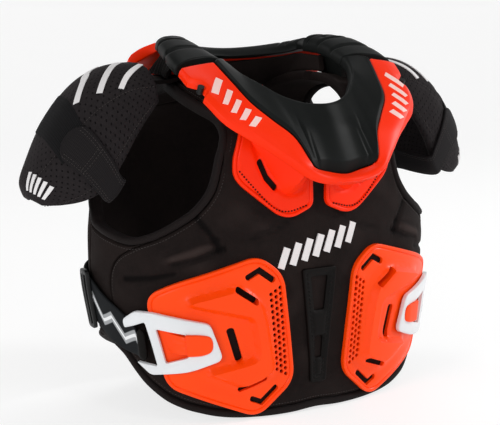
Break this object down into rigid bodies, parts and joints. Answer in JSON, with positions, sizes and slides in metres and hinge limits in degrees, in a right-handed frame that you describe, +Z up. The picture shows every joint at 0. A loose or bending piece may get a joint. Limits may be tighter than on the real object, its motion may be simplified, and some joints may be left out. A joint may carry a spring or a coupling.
{
  "type": "roost deflector",
  "caption": "Padded chest and back protector with hard chest plates, a ring-shaped neck brace, shoulder pads, side buckles and straps.",
  "frame": {"origin": "middle of the shoulders at the base of the neck, where the vest hangs on the wearer", "axes": "+Z up, the chest faces -Y, +X is the wearer's left"},
  "size_m": [0.418, 0.2422, 0.2996],
  "materials": {
    "fabric_padding": "padded stretch fabric, matte",
    "orange_plastic": "moulded, satin gloss",
    "rubber_padding": "moulded soft foam, satin",
    "white_plastic": "moulded, gloss",
    "black_plastic": "moulded, satin",
    "webbing": "woven elastic webbing"
  },
  "bodies": {
    "root": {"front_panel": "fabric_padding", "back_panel": "fabric_padding", "hem_binding": "fabric_padding", "centre_channel": "black_plastic", "brace_yoke": "orange_plastic", "brace_front_cover": "rubber_padding", "brace_rear_rim": "rubber_padding", "brace_rear_shell": "orange_plastic", "neck_liner": "fabric_padding", "side_panel_left": "fabric_padding", "side_panel_right": "fabric_padding", "shoulder_strap_left": "fabric_padding", "shoulder_strap_right": "fabric_padding", "armhole_binding_left": "fabric_padding", "armhole_binding_right": "fabric_padding", "lower_chest_plate_left": "orange_plastic", "lower_chest_plate_right": "orange_plastic", "upper_chest_plate_left": "orange_plastic", "upper_chest_plate_right": "orange_plastic", "buckle_left": "white_plastic", "buckle_right": "white_plastic", "side_strap_left": "webbing", "side_strap_right": "webbing", "strap_slider_left": "black_plastic", "strap_slider_right": "black_plastic", "brace_side_pad_left": "rubber_padding", "brace_side_pad_right": "rubber_padding", "brace_base_left": "rubber_padding", "brace_base_right": "rubber_padding", "shoulder_pad_left": "fabric_padding", "shoulder_pad_right": "fabric_padding", "pad_link_left": "fabric_padding", "pad_link_right": "fabric_padding", "shoulder_gusset_left": "fabric_padding", "shoulder_gusset_right": "fabric_padding", "arm_strap_left": "webbing", "arm_strap_right": "webbing"}
  },
  "joints": []
}
